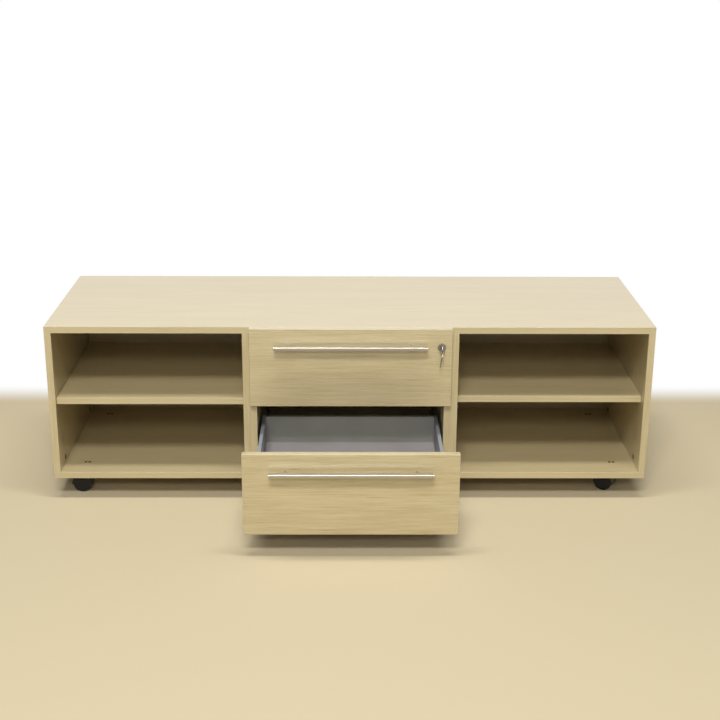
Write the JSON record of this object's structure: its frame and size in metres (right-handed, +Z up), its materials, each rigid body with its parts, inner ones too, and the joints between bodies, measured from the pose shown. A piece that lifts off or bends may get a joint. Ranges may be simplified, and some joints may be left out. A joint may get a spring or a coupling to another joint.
{
  "type": "sideboard",
  "caption": "Low sideboard on castors: open shelved units at both sides of a bay with handled metal-sided drawers, the upper one with a lock and keys.",
  "frame": {"origin": "on the floor, under the centre of the part as it stands with its lower drawer open", "axes": "+X to the viewer's right along the length, -Y towards the front, +Z up"},
  "size_m": [1.6, 0.869, 0.492],
  "materials": {
    "oak_board": "light oak-grain melamine, satin",
    "steel_bright": "satin nickel",
    "steel_key": "plain bright steel",
    "steel_grey": "grey powder coat",
    "zinc": "zinc plated",
    "brown_fitting": "dark brown moulded",
    "grey_board": "grey foil-faced board",
    "white_plastic": "moulded",
    "black_plastic": "moulded, slight sheen",
    "black_tread": "moulded twin wheel"
  },
  "bodies": {
    "carcass": {"top_panel": "oak_board", "bottom_left": "oak_board", "bottom_middle": "oak_board", "bottom_right": "oak_board", "side_left_outer": "oak_board", "side_left_inner": "oak_board", "side_middle_left": "oak_board", "side_middle_right": "oak_board", "side_right_inner": "oak_board", "side_right_outer": "oak_board", "back_left": "oak_board", "back_middle": "oak_board", "back_right": "oak_board", "shelf_left": "oak_board", "shelf_right": "oak_board", "cam_connectors": "brown_fitting", "shelf_pins": "zinc", "unit_screws": "zinc", "floor_screws": "brown_fitting", "fitting_screws": "zinc", "cabinet_rails_upper": "steel_grey", "cabinet_rails_lower": "steel_grey", "strike_plate": "zinc", "castor_plates": "zinc"},
    "upper_drawer": {"upper_front": "oak_board", "upper_side_left": "steel_grey", "upper_side_right": "steel_grey", "upper_floor": "grey_board", "upper_back": "grey_board", "upper_front_screws": "zinc", "upper_handle": "steel_bright", "upper_handle_screws": "zinc", "lock_housing": "steel_key"},
    "upper_cabinet_rollers": {"cabinet_rollers_upper": "white_plastic"},
    "upper_drawer_rollers": {"upper_box_rollers": "white_plastic"},
    "lower_drawer": {"lower_front": "oak_board", "lower_side_left": "steel_grey", "lower_side_right": "steel_grey", "lower_floor": "grey_board", "lower_back": "grey_board", "lower_front_screws": "zinc", "lower_handle": "steel_bright", "lower_handle_screws": "zinc"},
    "lower_cabinet_rollers": {"cabinet_rollers_lower": "white_plastic"},
    "lower_drawer_rollers": {"lower_box_rollers": "white_plastic"},
    "lock_core": {"lock_plug": "steel_key", "lock_cam": "zinc", "lock_key": "steel_key"},
    "ring_and_spare_key": {"key_ring": "steel_key", "spare_key": "steel_key"},
    "castor_front_left_swivel": {"castor_front_left_hood": "black_plastic"},
    "castor_front_left_wheel_pair": {"castor_front_left_wheels": "black_tread"},
    "castor_front_right_swivel": {"castor_front_right_hood": "black_plastic"},
    "castor_front_right_wheel_pair": {"castor_front_right_wheels": "black_tread"},
    "castor_back_left_swivel": {"castor_back_left_hood": "black_plastic"},
    "castor_back_left_wheel_pair": {"castor_back_left_wheels": "black_tread"},
    "castor_back_right_swivel": {"castor_back_right_hood": "black_plastic"},
    "castor_back_right_wheel_pair": {"castor_back_right_wheels": "black_tread"}
  },
  "joints": [
    {"name": "upper_drawer_slide", "type": "slide", "parent": "carcass", "child": "upper_drawer", "axis": [0, -1, 0], "range_m": [0, 0.34]},
    {"name": "upper_cabinet_roller_spin", "type": "hinge", "parent": "carcass", "child": "upper_cabinet_rollers", "pos_m": [0, -0.0495, 0.3123], "axis": [1, 0, 0], "continuous": true},
    {"name": "upper_drawer_roller_spin", "type": "hinge", "parent": "upper_drawer", "child": "upper_drawer_rollers", "pos_m": [0, 0.3765, 0.3103], "axis": [1, 0, 0], "continuous": true},
    {"name": "lower_drawer_slide", "type": "slide", "parent": "carcass", "child": "lower_drawer", "axis": [0, -1, 0], "range_m": [-0.318, 0.022]},
    {"name": "lower_cabinet_roller_spin", "type": "hinge", "parent": "carcass", "child": "lower_cabinet_rollers", "pos_m": [0, -0.0495, 0.0958], "axis": [1, 0, 0], "continuous": true},
    {"name": "lower_drawer_roller_spin", "type": "hinge", "parent": "lower_drawer", "child": "lower_drawer_rollers", "pos_m": [0, 0.0585, 0.0938], "axis": [1, 0, 0], "continuous": true},
    {"name": "lock_turn", "type": "hinge", "parent": "upper_drawer", "child": "lock_core", "pos_m": [0.23797, -0.0665, 0.4425], "axis": [0, -1, 0], "range_deg": [0, 90]},
    {"name": "spare_key_swing", "type": "hinge", "parent": "lock_core", "child": "ring_and_spare_key", "pos_m": [0.23797, -0.1035, 0.4405], "axis": [1, 0, 0], "range_deg": [-60, 12]},
    {"name": "castor_front_left_turn", "type": "hinge", "parent": "carcass", "child": "castor_front_left_swivel", "pos_m": [-0.722, 0.0035, 0.05], "axis": [0, 0, 1], "continuous": true},
    {"name": "castor_front_left_roll", "type": "hinge", "parent": "castor_front_left_swivel", "child": "castor_front_left_wheel_pair", "pos_m": [-0.737, 0.0035, 0.024], "axis": [0, 1, 0], "continuous": true},
    {"name": "castor_front_right_turn", "type": "hinge", "parent": "carcass", "child": "castor_front_right_swivel", "pos_m": [0.722, 0.0035, 0.05], "axis": [0, 0, 1], "continuous": true},
    {"name": "castor_front_right_roll", "type": "hinge", "parent": "castor_front_right_swivel", "child": "castor_front_right_wheel_pair", "pos_m": [0.70928, 0.01145, 0.024], "axis": [0.5299, 0.848, 0], "continuous": true},
    {"name": "castor_back_left_turn", "type": "hinge", "parent": "carcass", "child": "castor_back_left_swivel", "pos_m": [-0.722, 0.3655, 0.05], "axis": [0, 0, 1], "continuous": true},
    {"name": "castor_back_left_roll", "type": "hinge", "parent": "castor_back_left_swivel", "child": "castor_back_left_wheel_pair", "pos_m": [-0.73559, 0.35916, 0.024], "axis": [-0.4226, 0.9063, 0], "continuous": true},
    {"name": "castor_back_right_turn", "type": "hinge", "parent": "carcass", "child": "castor_back_right_swivel", "pos_m": [0.722, 0.3655, 0.05], "axis": [0, 0, 1], "continuous": true},
    {"name": "castor_back_right_roll", "type": "hinge", "parent": "castor_back_right_swivel", "child": "castor_back_right_wheel_pair", "pos_m": [0.71236, 0.37699, 0.024], "axis": [0.766, 0.6428, 0], "continuous": true}
  ],
  "couplings": [
    {"joint": "upper_cabinet_roller_spin", "follows": "upper_drawer_slide", "rad_per_m": 142.86},
    {"joint": "upper_drawer_roller_spin", "follows": "upper_drawer_slide", "rad_per_m": 142.86},
    {"joint": "lower_cabinet_roller_spin", "follows": "lower_drawer_slide", "rad_per_m": 142.86},
    {"joint": "lower_drawer_roller_spin", "follows": "lower_drawer_slide", "rad_per_m": 142.86}
  ]
}
